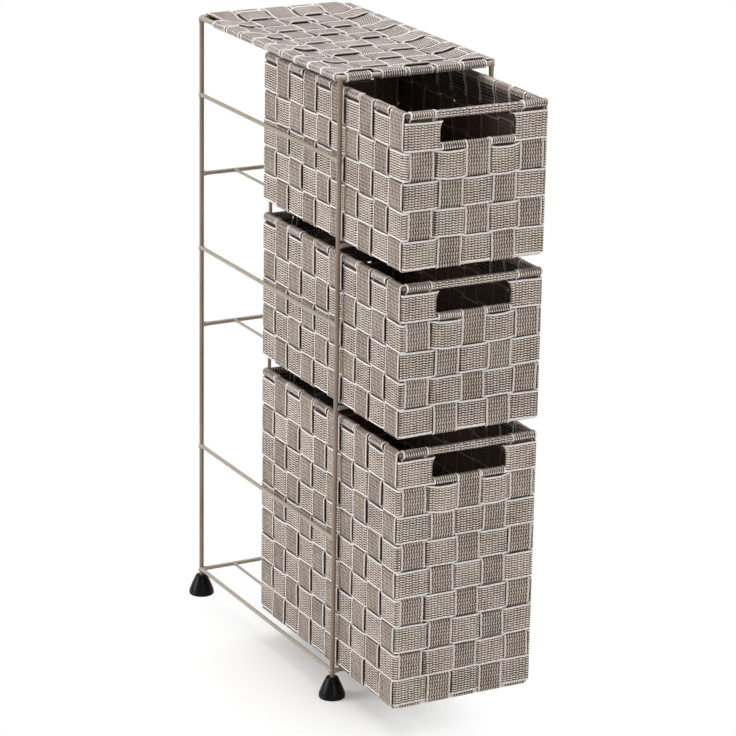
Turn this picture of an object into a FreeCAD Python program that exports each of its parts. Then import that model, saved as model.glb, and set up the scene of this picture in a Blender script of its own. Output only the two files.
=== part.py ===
import FreeCAD, Part
import math
import os

# A slim drawer tower for a bathroom: a frame of welded steel rod on four push-on feet, a top woven
# from webbing straps, and three woven drawers that slide on thin runners and stand pulled out.
# Millimetres; X runs across the front, Y from front to back, Z up. The origin lies on the floor,
# midway between the four posts.

Vector = FreeCAD.Vector

# Flats drawn on round stock: every rod, wire and foot is a prism with this many sides
ROD_SIDES = 12
WIRE_SIDES = 6
FOOT_SIDES = 16

# Webbing straps
STRAP_THICKNESS = 1.2
UPRIGHT_WIDTH = 26.0
HOOP_WIDTH = 27.5
STRAP_CLEARANCE = 0.05

# Woven drawers: counts of crossings, and the gaps between neighbouring straps
FRONT_COLUMNS = 5
SIDE_COLUMNS = 10
DRAWER_ROW_COUNT = {"bottom": 9, "middle": 5, "top": 5}
FRONT_COLUMN_GAP = 4.2
SIDE_COLUMN_GAP = 3.0
ROW_GAP = 1.0
CORNER_GAP = 0.7
RIM_HEIGHT = 9.0
BASE_HEIGHT = 3.0
WIRE_DIAMETER = 2.8
SLOT_WIDTH = 81.0
LIP_HEIGHT = 5.0
LIP_GAP = 0.5
PULLED_OUT = 119.0

# Rod frame
POST_DIAMETER = 5.0
GUARD_DIAMETER = 4.2
CROSS_ROD_DIAMETER = 4.5
RUNNER_DIAMETER = 3.0
STOP_ROD_DIAMETER = 4.0
RING_BEND_RADIUS = 6.0
RING_BEND_STEPS = 3
SIDE_CLEARANCE = 2.7
DEPTH_SPARE = 16.0
LOWEST_ROD_HEIGHT = 28.0
SEAT_CLEARANCE = 0.3
HEADROOM = 7.5
TOP_CLEARANCE = 6.6
RUNNER_SPACING = 87.0
GUARD_HEIGHTS = {"bottom": 140.0, "middle": 82.5, "top": 82.0}

# Woven top
TOP_LONG_COUNT = 5
TOP_CROSS_COUNT = 10
TOP_SIDE_MARGIN = 7.0
TOP_END_MARGIN = 6.0
HOOK_LENGTH = 5.0

# Feet
FOOT_DIAMETER = 27.4
FOOT_TOP_DIAMETER = 12.0
FOOT_HEIGHT = 22.0
FOOT_BAND_HEIGHT = 5.0
FOOT_CHAMFER = 2.0
FOOT_SOCKET_DEPTH = 13.0
FOOT_CLEARANCE = 0.05

# Wall of a drawer: the uprights lie in one plane and the hoops pass outside and inside it
WEAVE_OFFSET = STRAP_THICKNESS + STRAP_CLEARANCE
WALL_BUILD = WEAVE_OFFSET + STRAP_THICKNESS / 2
CORNER_MARGIN = 2 * WALL_BUILD + CORNER_GAP
DRAWER_WIDTH = FRONT_COLUMNS * UPRIGHT_WIDTH + (FRONT_COLUMNS - 1) * FRONT_COLUMN_GAP + 2 * CORNER_MARGIN
DRAWER_DEPTH = SIDE_COLUMNS * UPRIGHT_WIDTH + (SIDE_COLUMNS - 1) * SIDE_COLUMN_GAP + 2 * CORNER_MARGIN
WALL_X = DRAWER_WIDTH / 2 - WALL_BUILD
WALL_Y = DRAWER_DEPTH / 2 - WALL_BUILD
WIRE_RADIUS = WIRE_DIAMETER / 2
WIRE_INSET = WALL_BUILD + STRAP_CLEARANCE + WIRE_RADIUS
CHANNEL_OUTSIDE = STRAP_THICKNESS / 2 + STRAP_CLEARANCE
CHANNEL_INSIDE = WIRE_INSET + WIRE_RADIUS + STRAP_CLEARANCE

# Distance from a rod's axis to its flats, as a share of its diameter
TO_FLAT = math.cos(math.pi / ROD_SIDES) / 2

# Posts stand at the corners of this rectangle
POST_X = DRAWER_WIDTH / 2 + SIDE_CLEARANCE + POST_DIAMETER / 2
POST_Y = (DRAWER_DEPTH + DEPTH_SPARE) / 2
DRAWER_Y = -POST_Y - PULLED_OUT + DRAWER_DEPTH / 2

# How far the straight runs of the ring stand outside the posts, so that its bends pass over them
RING_REACH = RING_BEND_RADIUS * (1 - math.sqrt(0.5))


def drawer_height(rows):
    """Rim, hoops with their gaps, and the strip below the last hoop."""
    return RIM_HEIGHT + rows * HOOP_WIDTH + (rows - 1) * ROW_GAP + BASE_HEIGHT


def stack_levels():
    """Height of each drawer's cross rods and floor, from the lowest up, and of the rod ring on top."""
    levels = {}
    rod_z = LOWEST_ROD_HEIGHT
    for name, rows in DRAWER_ROW_COUNT.items():
        floor_z = rod_z + CROSS_ROD_DIAMETER / 2 + SEAT_CLEARANCE
        rim_z = floor_z + drawer_height(rows)
        levels[name] = (rod_z, floor_z, rim_z)
        rod_z = rim_z + HEADROOM + CROSS_ROD_DIAMETER / 2
    ring_z = rim_z + TOP_CLEARANCE + STRAP_THICKNESS + STRAP_CLEARANCE + POST_DIAMETER / 2
    return levels, ring_z


LEVELS, RING_Z = stack_levels()


def export(name, solids):
    """Write one node: a single solid, or several that belong together."""
    shape = solids[0] if len(solids) == 1 else Part.makeCompound(solids)
    shape.exportStep(os.path.join("parts", name + ".step"))


def ring_points(centre, u, v, radius, sides):
    """Corners of a regular polygon with a flat facing along u."""
    turns = [2 * math.pi * (i + 0.5) / sides for i in range(sides)]
    return [centre + u * (radius * math.cos(t)) + v * (radius * math.sin(t)) for t in turns]


def rod(start, end, diameter, sides=ROD_SIDES):
    """Straight rod between two points, along X, Y or Z."""
    run = end.sub(start)
    v = Vector(1, 0, 0) if run.z else Vector(0, 0, 1)
    u = v.cross(run).normalize()
    return prism(ring_points(start, u, v, diameter / 2, sides), run)


def prism(points, along):
    """Closed outline of points, carried along a vector."""
    return Part.Face(Part.makePolygon(points + points[:1])).extrude(along)


def skin(sections, closed):
    """Solid through polygons that turn anticlockwise as seen from ahead, closed or capped at both ends."""
    faces = []
    following = sections[1:] + sections[:1]
    for this, other in list(zip(sections, following))[:None if closed else -1]:
        for a, b, c, d in zip(this, this[1:] + this[:1], other[1:] + other[:1], other):
            faces.append(Part.Face(Part.makePolygon([a, b, c, d, a])))
    if not closed:
        faces += [Part.Face(Part.makePolygon(cap + cap[:1])) for cap in (sections[0][::-1], sections[-1])]
    return Part.Solid(Part.Shell(faces))


def centres(count, pitch):
    """Evenly spaced places, symmetric about zero."""
    return [(i - (count - 1) / 2) * pitch for i in range(count)]


# Rod frame

def top_ring():
    """Rod bent to a rounded rectangle whose bends pass over the post tops."""
    run_x = POST_X + RING_REACH - RING_BEND_RADIUS
    run_y = POST_Y + RING_REACH - RING_BEND_RADIUS
    sections = []
    for turn, (sx, sy) in enumerate(((1, 1), (-1, 1), (-1, -1), (1, -1))):
        for step in range(RING_BEND_STEPS + 1):
            angle = math.pi / 2 * (turn + step / RING_BEND_STEPS)
            outward = Vector(math.cos(angle), math.sin(angle), 0)
            centre = Vector(sx * run_x, sy * run_y, RING_Z) + outward * RING_BEND_RADIUS
            sections.append(ring_points(centre, outward, Vector(0, 0, 1), POST_DIAMETER / 2, ROD_SIDES))
    return skin(sections[::-1], True)


def build_frame():
    """Ring, posts, guards, base rails, cross rods, runners and stop rod, butted where they are welded."""
    export("top_ring", [top_ring()])
    post_foot = FOOT_HEIGHT - FOOT_SOCKET_DEPTH
    post_top = RING_Z - TO_FLAT * POST_DIAMETER
    for end, y in (("front", -POST_Y), ("rear", POST_Y)):
        for side, x in (("left", -POST_X), ("right", POST_X)):
            post = rod(Vector(x, y, post_foot), Vector(x, y, post_top), POST_DIAMETER)
            export(f"{end}_{side}_post", [post])

    rail_end = POST_Y - TO_FLAT * POST_DIAMETER
    for side, x in (("left", -POST_X), ("right", POST_X)):
        heights = {f"{name}_{side}_guard": LEVELS[name][1] + GUARD_HEIGHTS[name] for name in LEVELS}
        heights[f"{side}_base_rail"] = LOWEST_ROD_HEIGHT
        for name, z in heights.items():
            export(name, [rod(Vector(x, -rail_end, z), Vector(x, rail_end, z), GUARD_DIAMETER)])

    cross_end = POST_X - TO_FLAT * POST_DIAMETER
    runner_end = POST_Y - TO_FLAT * CROSS_ROD_DIAMETER
    for name in LEVELS:
        rod_z = LEVELS[name][0]
        for end, y in (("front", -POST_Y), ("rear", POST_Y)):
            cross = rod(Vector(-cross_end, y, rod_z), Vector(cross_end, y, rod_z), CROSS_ROD_DIAMETER)
            export(f"{name}_{end}_cross_rod", [cross])
        runners = []
        for x in (-RUNNER_SPACING / 2, RUNNER_SPACING / 2):
            runners.append(rod(Vector(x, -runner_end, rod_z), Vector(x, runner_end, rod_z), RUNNER_DIAMETER))
        export(f"{name}_runners", runners)

    stop_y = POST_Y + TO_FLAT * (CROSS_ROD_DIAMETER + STOP_ROD_DIAMETER)
    stop_top = RING_Z - POST_DIAMETER / 2 - STRAP_THICKNESS - 2 * STRAP_CLEARANCE
    stop_foot = LOWEST_ROD_HEIGHT - CROSS_ROD_DIAMETER / 2
    stop = rod(Vector(0, stop_y, stop_foot), Vector(0, stop_y, stop_top), STOP_ROD_DIAMETER)
    export("back_stop_rod", [stop])


def build_feet():
    """Push-on feet: a cone on a short band, with a blind socket for the post."""
    base = FOOT_DIAMETER / 2
    outline = [(base - FOOT_CHAMFER, 0), (base, FOOT_CHAMFER), (base, FOOT_BAND_HEIGHT),
               (FOOT_TOP_DIAMETER / 2, FOOT_HEIGHT)]
    x_axis = Vector(1, 0, 0)
    y_axis = Vector(0, 1, 0)
    sections = [ring_points(Vector(0, 0, z), x_axis, y_axis, radius, FOOT_SIDES) for radius, z in outline]
    socket_floor = Vector(0, 0, FOOT_HEIGHT - FOOT_SOCKET_DEPTH)
    socket = rod(socket_floor, Vector(0, 0, FOOT_HEIGHT), POST_DIAMETER + 2 * FOOT_CLEARANCE)
    foot = skin(sections, False).cut(socket).Solids[0]
    places = [Vector(x, y, 0) for x in (-POST_X, POST_X) for y in (-POST_Y, POST_Y)]
    export("feet", [foot.translated(place) for place in places])


# Woven top

def hook(reach, radius, sign):
    """Line of a strap folded over a rod: past its top, down its outside and back under it."""
    line = [(reach + radius, radius), (reach + radius, -radius), (reach - HOOK_LENGTH, -radius)]
    return [(sign * along, height) for along, height in line]


def strap_outline(reach, bends):
    """Side view of a top strap: hooked over both rods, and lifted or lowered by the level at each bend."""
    inner_radius = POST_DIAMETER / 2 + STRAP_CLEARANCE
    lines = []
    for radius in (inner_radius, inner_radius + STRAP_THICKNESS):
        woven = [(along, radius + level * WEAVE_OFFSET) for along, level in bends]
        lines.append(hook(reach, radius, -1)[::-1] + woven + hook(reach, radius, 1))
    return lines[1] + lines[0][::-1]


def build_top():
    """Straight straps across, and straps from front to back that weave over and under them."""
    half = UPRIGHT_WIDTH / 2
    cross_pitch = (2 * (POST_Y - TOP_END_MARGIN) - UPRIGHT_WIDTH) / (TOP_CROSS_COUNT - 1)
    long_pitch = (2 * (POST_X - TOP_SIDE_MARGIN) - UPRIGHT_WIDTH) / (TOP_LONG_COUNT - 1)
    cross_places = centres(TOP_CROSS_COUNT, cross_pitch)
    outline = strap_outline(POST_X + RING_REACH, [])
    across = []
    for y in cross_places:
        points = [Vector(x, y - half, RING_Z + z) for x, z in outline]
        across.append(prism(points, Vector(0, UPRIGHT_WIDTH, 0)))
    export("top_cross_straps", across)

    rod_y = POST_Y + RING_REACH
    off_rod = rod_y - POST_DIAMETER / 2 - STRAP_CLEARANCE
    along = []
    for i, x in enumerate(centres(TOP_LONG_COUNT, long_pitch)):
        bends = [(-off_rod, 0)]
        for j, y in enumerate(cross_places):
            level = -1 if (i + j) % 2 == 0 else 1
            bends += [(y - half, level), (y + half, level)]
        outline = strap_outline(rod_y, bends + [(off_rod, 0)])
        points = [Vector(x - half, y, RING_Z + z) for y, z in outline]
        along.append(prism(points, Vector(UPRIGHT_WIDTH, 0, 0)))
    export("top_long_straps", along)


# Woven drawers

class Wall:
    """One wall of a drawer: its direction round the drawer, its outward side and its columns of uprights."""

    def __init__(self, name, direction, outward, distance, columns, first_crossing):
        self.name = name
        self.direction = direction
        self.outward = outward
        self.distance = distance
        self.columns = columns
        self.first_crossing = first_crossing

    def point(self, along, offset, z=0.0):
        """Point in plan: along the wall, and outwards from the plane of its uprights."""
        return self.direction * along + self.outward * (self.distance + offset) + Vector(0, DRAWER_Y, z)

    def level(self, column, row):
        """Where the hoop of a row lies at a column: outside the upright, or inside it."""
        outside = (self.first_crossing + column + row) % 2 == 0
        return WEAVE_OFFSET if outside else -WEAVE_OFFSET


FRONT_PLACES = centres(FRONT_COLUMNS, UPRIGHT_WIDTH + FRONT_COLUMN_GAP)
SIDE_PLACES = centres(SIDE_COLUMNS, UPRIGHT_WIDTH + SIDE_COLUMN_GAP)
WALLS = [
    Wall("front", Vector(1, 0, 0), Vector(0, -1, 0), WALL_Y, FRONT_PLACES, 0),
    Wall("right", Vector(0, 1, 0), Vector(1, 0, 0), WALL_X, SIDE_PLACES, FRONT_COLUMNS),
    Wall("rear", Vector(-1, 0, 0), Vector(0, 1, 0), WALL_Y, FRONT_PLACES, FRONT_COLUMNS + SIDE_COLUMNS),
    Wall("left", Vector(0, -1, 0), Vector(-1, 0, 0), WALL_X, SIDE_PLACES, 2 * FRONT_COLUMNS + SIDE_COLUMNS),
]
FRONT = WALLS[0]


def wall_line(wall, row, shift):
    """Hoop line along one wall: flat over each upright, crossing the wall between neighbours."""
    points = []
    for column in range(len(wall.columns) - 1):
        this_edge = wall.columns[column] + UPRIGHT_WIDTH / 2
        next_edge = wall.columns[column + 1] - UPRIGHT_WIDTH / 2
        points.append(wall.point(this_edge, wall.level(column, row) + shift))
        points.append(wall.point(next_edge, wall.level(column + 1, row) + shift))
    return points


def corner(wall, following, row, shift):
    """Corner point where the hoop leaves one wall for the following one."""
    along = following.distance + following.level(0, row) + shift
    return wall.point(along, wall.level(len(wall.columns) - 1, row) + shift)


def hoop(row):
    """Closed strap round the drawer, woven through all its uprights."""
    faces = []
    for shift in (STRAP_THICKNESS / 2, -STRAP_THICKNESS / 2):
        points = []
        for wall, following in zip(WALLS, WALLS[1:] + WALLS[:1]):
            points += wall_line(wall, row, shift)
            points.append(corner(wall, following, row, shift))
        faces.append(Part.Face(Part.makePolygon(points + points[:1])))
    return faces[0].cut(faces[1]).Faces[0].extrude(Vector(0, 0, HOOP_WIDTH))


def open_hoop(row):
    """Strap of the handle's row: it ends at both sides of the slot, folded in against the wires."""
    lines = []
    skin_half = STRAP_THICKNESS / 2
    for shift, edge in ((skin_half, SLOT_WIDTH / 2), (-skin_half, SLOT_WIDTH / 2 + STRAP_THICKNESS)):
        level = FRONT.level(0, row) + shift
        points = [FRONT.point(edge, -WALL_BUILD), FRONT.point(edge, level)]
        points.append(corner(FRONT, WALLS[1], row, shift))
        for wall, following in zip(WALLS[1:], WALLS[2:] + WALLS[:1]):
            points += wall_line(wall, row, shift)
            points.append(corner(wall, following, row, shift))
        lines.append(points + [FRONT.point(-edge, level), FRONT.point(-edge, -WALL_BUILD)])
    return prism(lines[0] + lines[1][::-1], Vector(0, 0, HOOP_WIDTH))


def upright(wall, place, low, high):
    """Flat strap standing in the plane of a wall."""
    half = UPRIGHT_WIDTH / 2
    skin = STRAP_THICKNESS / 2
    corners = [wall.point(place - half, -skin, low), wall.point(place + half, -skin, low),
               wall.point(place + half, skin, low), wall.point(place - half, skin, low)]
    return prism(corners, Vector(0, 0, high - low))


def folded_strap(wall, half_length, mitre, top, height):
    """Strap folded over a wire and the strap ends below it; mitre 1 cuts its own ends at 45 degrees."""
    outside = CHANNEL_OUTSIDE + STRAP_THICKNESS
    inside = -CHANNEL_INSIDE - STRAP_THICKNESS
    outline = [(outside, top - height), (outside, top), (inside, top), (inside, top - height),
               (-CHANNEL_INSIDE, top - height), (-CHANNEL_INSIDE, top - STRAP_THICKNESS),
               (CHANNEL_OUTSIDE, top - STRAP_THICKNESS), (CHANNEL_OUTSIDE, top - height)]
    ends = []
    for side in (1, -1):
        ends.append([wall.point(side * (half_length + mitre * offset), offset, z) for offset, z in outline])
    return skin(ends, False)


def wire_frame(floor_z, rim_z, slot_z):
    """Welded wires inside the weave: rim, base, corners, and the lower edge and ends of the handle slot."""
    x = WALL_X - WIRE_INSET
    y = WALL_Y - WIRE_INSET
    rim = rim_z - STRAP_THICKNESS - STRAP_CLEARANCE - WIRE_RADIUS
    base = floor_z + 2 * WEAVE_OFFSET + WIRE_RADIUS
    slot = slot_z - STRAP_THICKNESS - STRAP_CLEARANCE - WIRE_RADIUS
    stub_x = SLOT_WIDTH / 2 + STRAP_THICKNESS + STRAP_CLEARANCE + WIRE_RADIUS
    across = x - WIRE_RADIUS
    runs = [((-across, -y, slot), (across, -y, slot))]
    for z in (rim, base):
        runs += [((side * x, -y - WIRE_RADIUS, z), (side * x, y + WIRE_RADIUS, z)) for side in (-1, 1)]
        runs += [((-across, end * y, z), (across, end * y, z)) for end in (-1, 1)]
    post_top = rim - WIRE_RADIUS
    for side in (-1, 1):
        runs += [((side * x, end * y, base + WIRE_RADIUS), (side * x, end * y, post_top)) for end in (-1, 1)]
        runs.append(((side * stub_x, -y, slot + WIRE_RADIUS), (side * stub_x, -y, post_top)))
    shift = Vector(0, DRAWER_Y, 0)
    return [rod(Vector(*start) + shift, Vector(*end) + shift, WIRE_DIAMETER, WIRE_SIDES)
            for start, end in runs]


def floor_straps(floor_z):
    """Straps of the floor: front to back below, side to side on top of them."""
    skin = STRAP_THICKNESS / 2
    straps = []
    for x in FRONT_PLACES:
        low = Vector(x - UPRIGHT_WIDTH / 2, DRAWER_Y - WALL_Y - skin, floor_z)
        straps.append(Part.makeBox(UPRIGHT_WIDTH, 2 * (WALL_Y + skin), STRAP_THICKNESS, low))
    for y in SIDE_PLACES:
        low = Vector(-WALL_X - skin, DRAWER_Y + y - UPRIGHT_WIDTH / 2, floor_z + WEAVE_OFFSET)
        straps.append(Part.makeBox(2 * (WALL_X + skin), UPRIGHT_WIDTH, STRAP_THICKNESS, low))
    return straps


def build_drawer(name):
    """One drawer: wire frame, floor, uprights, hoops woven round them, rim and the lip of the handle slot."""
    floor_z, rim_z = LEVELS[name][1:]
    first_row = rim_z - RIM_HEIGHT - STRAP_CLEARANCE - HOOP_WIDTH
    slot_z = first_row - ROW_GAP + LIP_GAP + LIP_HEIGHT
    export(f"{name}_wire_frame", wire_frame(floor_z, rim_z, slot_z))
    export(f"{name}_floor_straps", floor_straps(floor_z))
    for wall in WALLS:
        low = floor_z + (WEAVE_OFFSET if wall.distance == WALL_Y else 2 * WEAVE_OFFSET)
        straps = []
        for place in wall.columns:
            below_slot = wall is FRONT and abs(place) < SLOT_WIDTH / 2
            high = first_row if below_slot else rim_z - STRAP_THICKNESS
            straps.append(upright(wall, place, low, high - STRAP_CLEARANCE))
        export(f"{name}_{wall.name}_straps", straps)

    hoops = []
    for row in range(DRAWER_ROW_COUNT[name]):
        strap = open_hoop(row) if row == 0 else hoop(row)
        hoops.append(strap.translated(Vector(0, 0, first_row - row * (HOOP_WIDTH + ROW_GAP))))
    export(f"{name}_hoop_straps", hoops)
    lengths = [following.distance for following in WALLS[1:] + WALLS[:1]]
    bands = [folded_strap(wall, length, 1, rim_z, RIM_HEIGHT) for wall, length in zip(WALLS, lengths)]
    export(f"{name}_rim_band", bands)
    lip = folded_strap(FRONT, SLOT_WIDTH / 2 - STRAP_CLEARANCE, 0, slot_z, LIP_HEIGHT)
    export(f"{name}_handle_lip", [lip])


os.makedirs("parts", exist_ok=True)
build_frame()
build_feet()
build_top()
for drawer in DRAWER_ROW_COUNT:
    build_drawer(drawer)
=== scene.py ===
import math

import bpy
import numpy as np
from mathutils import Matrix, Vector


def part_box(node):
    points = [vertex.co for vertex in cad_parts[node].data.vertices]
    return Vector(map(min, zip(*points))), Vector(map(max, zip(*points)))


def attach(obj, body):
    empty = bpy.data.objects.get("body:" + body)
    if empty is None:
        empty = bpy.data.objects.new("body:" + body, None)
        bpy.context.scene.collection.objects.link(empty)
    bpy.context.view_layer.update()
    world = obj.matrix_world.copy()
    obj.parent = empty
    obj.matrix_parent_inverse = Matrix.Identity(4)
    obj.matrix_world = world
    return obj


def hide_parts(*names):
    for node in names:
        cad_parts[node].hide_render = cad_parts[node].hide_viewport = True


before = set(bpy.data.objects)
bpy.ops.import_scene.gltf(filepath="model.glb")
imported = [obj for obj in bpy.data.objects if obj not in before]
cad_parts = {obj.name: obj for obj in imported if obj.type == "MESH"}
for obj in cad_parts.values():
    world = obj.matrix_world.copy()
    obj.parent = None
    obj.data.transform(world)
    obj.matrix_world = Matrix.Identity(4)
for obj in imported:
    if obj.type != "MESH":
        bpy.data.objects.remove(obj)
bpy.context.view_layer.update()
chance = np.random.default_rng(11)


# Rod frame: posts, a bent ring on top, side guards, base rails, cross rods, runners and one stop rod.
# Drawn steel rod, cut to length, welded at every meeting and painted a warm taupe in one coat.
# Each rod keeps its CAD line; it is round here, and swells to a small weld where it meets another.
ROD_SIDES = 20
ROD_STEPS = 24
ROD_SINK = 0.0015
STOP_SINK = 0.0002
WELD_SWELL = 0.0008
WELD_LENGTH = 0.0022
WELD_STEPS = 9
KNUCKLE_RADIUS = 0.0027
KNUCKLE_OUT = 0.0013
KNUCKLE_PAST = 0.0018
BEAD_POLE = 0.12
BEAD_STEPS = 11
BEAD_SIDES = 16
RING_RADIUS = 0.0025
RING_BEND = 0.006
BEND_STEPS = 9
UP = np.array([0, 0, 1.0])
SIDEWAYS = np.array([1.0, 0, 0])


def paint(red, green, blue):
    """Screen colour 0..255 as the linear colour that a shader takes: ((c + 0.055) / 1.055) ** 2.4."""
    screen = np.array([red, green, blue]) / 255
    linear = np.where(screen > 0.04045, ((screen + 0.055) / 1.055) ** 2.4, screen / 12.92)
    return (*linear.tolist(), 1.0)


class Shade:
    """A socket of a material. Arithmetic on it adds Math nodes; node() adds any other node."""

    def __init__(self, tree, socket):
        self.tree = tree
        self.socket = socket

    def node(self, kind, settings, values, output=0):
        made = self.tree.nodes.new(kind)
        for name, value in settings.items():
            setattr(made, name, value)
        for name, value in values.items():
            if isinstance(value, Shade):
                self.tree.links.new(value.socket, made.inputs[name])
            else:
                made.inputs[name].default_value = value
        return Shade(self.tree, made.outputs[output])

    def math(self, operation, *values):
        return self.node("ShaderNodeMath", {"operation": operation}, dict(enumerate(values)))

    def __add__(self, other):
        return self.math("ADD", self, other)

    def __sub__(self, other):
        return self.math("SUBTRACT", self, other)

    def __mul__(self, other):
        return self.math("MULTIPLY", self, other)

    def __truediv__(self, other):
        return self.math("DIVIDE", self, other)

    def __rsub__(self, other):
        return self.math("SUBTRACT", other, self)

    __radd__ = __add__
    __rmul__ = __mul__

    def wave(self):
        """0.5 + 0.5 sin(2 pi times this socket)."""
        return self.math("SINE", self * (2 * math.pi)) * 0.5 + 0.5

    def ramp(self, low, high):
        """Smooth step from 0 at low to 1 at high."""
        return self.node("ShaderNodeMapRange", {"interpolation_type": "SMOOTHSTEP"},
                         {"Value": self, "From Min": low, "From Max": high})

    def mix(self, dark, pale):
        """Colour between two others, with this socket as the share of the second."""
        return self.node("ShaderNodeMix", {"data_type": "RGBA"}, {"Factor": self, 6: dark, 7: pale}, 2)

    def noise(self, scale, detail, roughness=0.5):
        """Cloudy noise over the places that this socket gives."""
        values = {"Vector": self, "Scale": scale, "Detail": detail, "Roughness": roughness}
        return self.node("ShaderNodeTexNoise", {}, values)

    def mark(self, name):
        """Number marked on the points of the mesh."""
        return self.node("ShaderNodeAttribute", {"attribute_name": name}, {}, 2)

    def bump(self, strength, distance):
        """Normal of a surface with this socket as its height."""
        values = {"Height": self, "Strength": strength, "Distance": distance}
        return self.node("ShaderNodeBump", {}, values)


def new_material(name, **fixed):
    """Principled material with its fixed sockets set; returns it, its shader and a Shade to build from."""
    material = bpy.data.materials.new(name)
    material.use_nodes = True
    tree = material.node_tree
    shader = tree.nodes["Principled BSDF"]
    for socket, value in fixed.items():
        shader.inputs[socket.replace("_", " ")].default_value = value
    place = tree.nodes.new("ShaderNodeTexCoord")
    return material, shader, Shade(tree, place.outputs["Object"])


def feed(shade, shader, socket):
    """Links a worked-out value to a socket of the shader."""
    shade.tree.links.new(shade.socket, shader.inputs[socket])


def rod_paint():
    """Taupe coat: two tones that drift over centimetres, a fine orange peel, and a painted pale top light
    where marked.
    """
    material, shader, place = new_material("rod_paint", Metallic=0.15)
    drift = place.noise(14.0, 3.0)
    peel = place.noise(900.0, 2.0)
    coat_tones = drift.ramp(0.3, 0.7).mix(paint(118, 102, 87), paint(136, 119, 103))
    # Painted light: where marked, the coat is painted paler, standing in for light and its reflection from
    # overhead.
    feed(place.mark("painted_top_light").mix(coat_tones, paint(175, 166, 152)), shader, "Base Color")
    feed(0.28 + 0.16 * peel, shader, "Roughness")
    feed(peel.bump(0.12, 0.0004), shader, "Normal")
    return material


def mesh_object(name, verts, faces, material):
    """Smooth mesh at the origin from arrays of places and corner lists."""
    mesh = bpy.data.meshes.new(name)
    mesh.from_pydata(verts, [], faces)
    mesh.polygons.foreach_set("use_smooth", np.ones(len(mesh.polygons), bool))
    mesh.materials.append(material)
    made = bpy.data.objects.new(name, mesh)
    bpy.context.scene.collection.objects.link(made)
    return made


def grid_faces(rows, columns, closed_rows=False):
    """Quads of a rows by columns grid, joined on itself across, and along where closed."""
    i = np.arange(rows if closed_rows else rows - 1)
    i, j = (a.ravel() for a in np.meshgrid(i, np.arange(columns), indexing="ij"))
    following_i = (i + 1) % rows
    following_j = (j + 1) % columns
    return np.stack([i * columns + j, following_i * columns + j,
                     following_i * columns + following_j, i * columns + following_j], axis=1)


def tube(path, radii, up, closed=False, sides=ROD_SIDES):
    """Round tube: circle of radius radii[i] across the path at each point, turned by angle about it."""
    ahead = np.roll(path, -1, 0) - np.roll(path, 1, 0) if closed else np.gradient(path, axis=0)
    ahead /= np.linalg.norm(ahead, axis=1, keepdims=True)
    side = np.cross(up, ahead)
    side /= np.linalg.norm(side, axis=1, keepdims=True)
    lift = np.cross(ahead, side)
    turn = np.linspace(0, 2 * np.pi, sides, endpoint=False)[None, :, None]
    round_about = np.cos(turn) * side[:, None] + np.sin(turn) * lift[:, None]
    verts = (path[:, None] + radii[:, None, None] * round_about).reshape(-1, 3)
    faces = grid_faces(len(path), sides, closed)[:, ::-1].tolist()
    if not closed:
        last = (len(path) - 1) * sides
        faces += [list(range(sides))[::-1], list(range(last, last + sides))]
    return verts, faces


def welded_rod(low, high, diameter, sink, weld):
    """Straight rod between two points, run on by sink at both ends.

    Its radius swells towards each end by weld * exp(-distance / length)."""
    low, high = np.array(low), np.array(high)
    length = np.linalg.norm(high - low)
    ahead = (high - low) / length
    near = np.linspace(0, 1, WELD_STEPS) ** 2 * 5 * WELD_LENGTH
    middle = np.linspace(6 * WELD_LENGTH, length - 6 * WELD_LENGTH, ROD_STEPS)
    along = np.concatenate([[-sink], near, middle, (length - near)[::-1], [length + sink]])
    from_end = np.maximum(np.minimum(along, length - along), 0)
    radii = diameter / 2 + weld * np.exp(-from_end / WELD_LENGTH)
    stands = abs(ahead[2]) > 0.5
    return tube(low + along[:, None] * ahead, radii, SIDEWAYS if stands else UP)


def bead(centre, radius):
    """Ball of weld: circles of radius sin(rise) at heights -cos(rise), with a flat face at each pole."""
    rise = np.linspace(BEAD_POLE, np.pi - BEAD_POLE, BEAD_STEPS)
    path = centre + radius * np.cos(rise)[:, None] * -UP
    return tube(path, radius * np.sin(rise), SIDEWAYS, sides=BEAD_SIDES)


def joined(parts):
    """Places and corner lists of several pieces as one."""
    starts = np.cumsum([0] + [len(part[0]) for part in parts]).tolist()
    faces = [[k + start for k in face] for start, part in zip(starts, parts) for face in part[1]]
    return np.concatenate([part[0] for part in parts]), faces


def solid_boxes(node):
    """Boxes of the separate solids in a CAD node: vertices joined through shared places, then grouped."""
    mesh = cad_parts[node].data
    places = np.empty(len(mesh.vertices) * 3)
    mesh.vertices.foreach_get("co", places)
    places = places.reshape(-1, 3)
    corners = np.empty(len(mesh.polygons) * 3, int)
    mesh.loops.foreach_get("vertex_index", corners)
    shared = np.unique(np.round(places * 1e6).astype(int), axis=0, return_inverse=True)[1].ravel()
    triangles = shared[corners].reshape(-1, 3)
    group = np.arange(shared.max() + 1)
    settled = False
    while not settled:
        lowest = group[triangles].min(1)
        before = group.copy()
        np.minimum.at(group, triangles.ravel(), np.repeat(lowest, 3))
        settled = np.array_equal(before, group)
    mine = group[shared]
    return [(places[mine == g].min(0), places[mine == g].max(0)) for g in np.unique(mine)]


def painted_top_light_mark(made, level):
    """Share of painted top light, paler as if lit from above: none on a post; on a level rod all on top, half
    at the sides and none below.
    """
    normals = np.empty(len(made.data.vertices) * 3)
    made.data.vertices.foreach_get("normal", normals)
    mark = made.data.attributes.new("painted_top_light", "FLOAT", "POINT")
    mark.data.foreach_set("value", (level * (0.5 + 0.5 * normals[2::3])).astype(np.float32))


TAUPE = rod_paint()


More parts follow.
